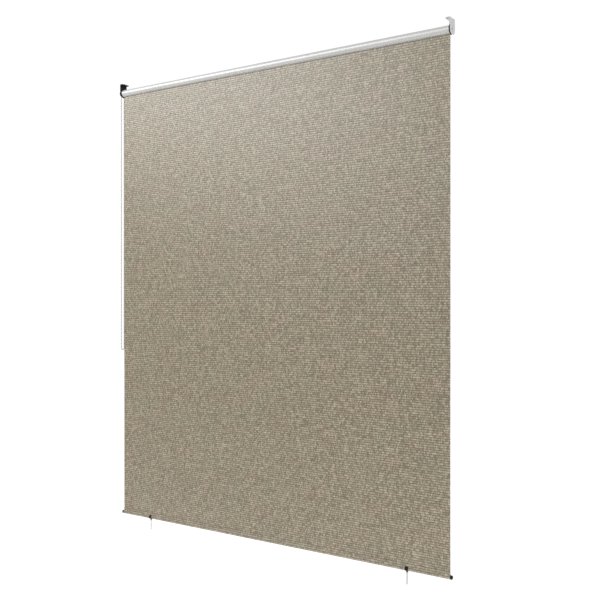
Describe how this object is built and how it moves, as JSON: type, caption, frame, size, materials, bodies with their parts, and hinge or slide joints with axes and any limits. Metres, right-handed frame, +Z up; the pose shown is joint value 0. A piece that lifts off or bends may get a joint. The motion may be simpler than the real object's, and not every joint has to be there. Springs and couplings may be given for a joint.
{
  "type": "outdoor roller shade",
  "caption": "Wide outdoor roller shade: ribbed woven cloth on a tube between top-fixed brackets, raised by a bead chain through a wrap-spring clutch, with a weighted hem bar and tie-down clips.",
  "frame": {"origin": "centre of the four fixing holes, on the upper faces of the two flanges", "axes": "+X along the tube towards the idler end, +Y towards the wall, +Z up"},
  "size_m": [1.5291, 0.036, 1.8765],
  "materials": {
    "bracket_paint": "light grey powder coat",
    "black_plastic": "black moulded plastic, fine texture",
    "plated_steel": "bright zinc plate",
    "tube_aluminium": "satin aluminium",
    "shade_cloth": "woven outdoor cloth, mottled sand and taupe rows",
    "white_chain": "white moulded plastic",
    "tie_cord": "grey braided cord"
  },
  "bodies": {
    "fixed": {"left_bracket": "bracket_paint", "right_bracket": "bracket_paint", "clutch_housing": "black_plastic", "chain_guard": "black_plastic", "housing_screws": "plated_steel", "spindle": "plated_steel", "spindle_screw": "plated_steel", "spindle_clip": "plated_steel", "pin_bush": "plated_steel", "bead_chain": "white_chain", "shade_fabric": "shade_cloth"},
    "roller": {"roller_tube": "tube_aluminium", "fabric_spline": "white_chain", "chain_wheel": "black_plastic", "chain_on_wheel": "white_chain", "wrap_springs": "plated_steel", "drive_plug": "black_plastic", "idler_plug": "black_plastic", "spring_seat": "black_plastic", "idler_spring": "plated_steel"},
    "pin": {"idler_pin": "plated_steel"},
    "rail": {"hem_pocket": "shade_cloth", "bottom_bar": "tube_aluminium", "left_end_cap": "black_plastic", "right_end_cap": "black_plastic", "left_clip": "black_plastic", "right_clip": "black_plastic", "left_knot": "tie_cord", "right_knot": "tie_cord", "left_tie_cord": "tie_cord", "right_tie_cord": "tie_cord"}
  },
  "joints": [
    {"name": "rail_lift", "type": "slide", "parent": "fixed", "child": "rail", "axis": [0, 0, 1], "range_m": [0, 1.7], "deforming": ["shade_fabric"]},
    {"name": "roller_spin", "type": "hinge", "parent": "fixed", "child": "roller", "pos_m": [0, 0, -0.037], "axis": [1, 0, 0], "range_deg": [0, 4384]},
    {"name": "pin_press", "type": "slide", "parent": "roller", "child": "pin", "axis": [-1, 0, 0], "range_m": [0, 0.007], "stiffness_N_per_m": 600, "springref_m": -0.004, "deforming": ["idler_spring"]}
  ],
  "couplings": [
    {"joint": "roller_spin", "follows": "rail_lift", "rad_per_m": 45}
  ]
}
